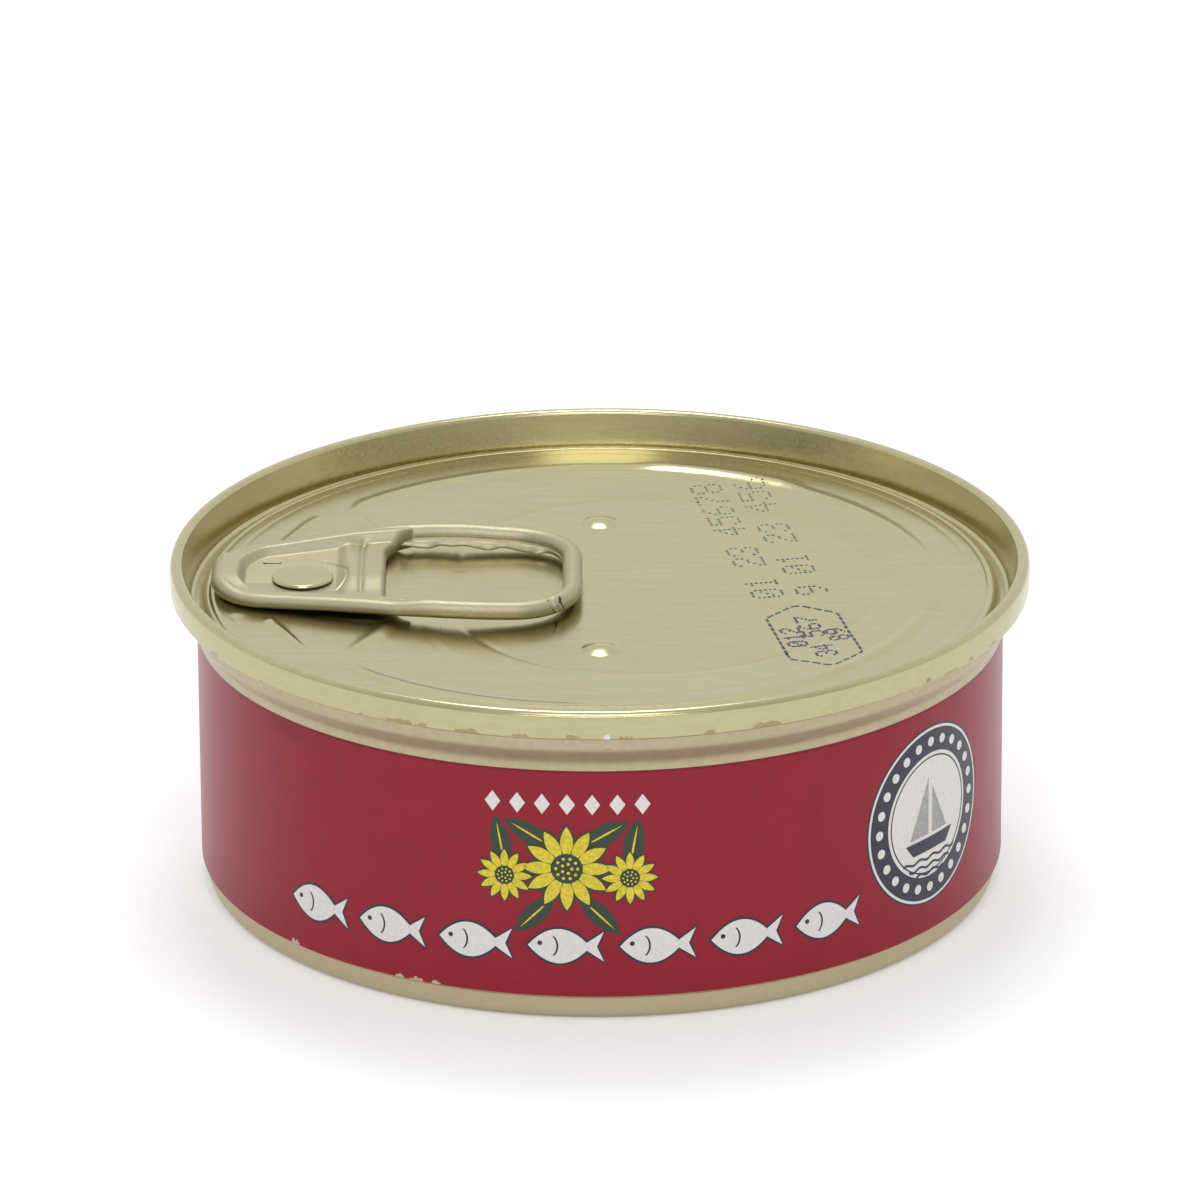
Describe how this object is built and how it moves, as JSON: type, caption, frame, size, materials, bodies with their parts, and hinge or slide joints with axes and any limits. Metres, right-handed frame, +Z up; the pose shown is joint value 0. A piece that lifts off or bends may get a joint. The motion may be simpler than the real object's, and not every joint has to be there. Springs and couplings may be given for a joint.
{
  "type": "tuna can",
  "caption": "Small round shut food can with a double-seamed easy-open end, a riveted pull tab and a printed side wall.",
  "frame": {"origin": "middle of the base, at the height of the ring that the can stands on", "axes": "+Z up, along the can's axis, towards the easy-open end; the pull tab lies along X with its rivet and nose on the -X side; -Y is the front of the printed wall"},
  "size_m": [0.0688, 0.0688, 0.0268],
  "materials": {
    "printed_wall": "satin red lacquer print on tinplate, with gold lacquer above and below it",
    "gold_lacquered_end": "transparent gold lacquer on tinplate, satin",
    "gold_lacquered_tab": "transparent gold lacquer on tinplate, duller than the end"
  },
  "bodies": {
    "root": {"can_body": "printed_wall", "easy_open_end": "gold_lacquered_end", "pull_tab": "gold_lacquered_tab"}
  },
  "joints": []
}
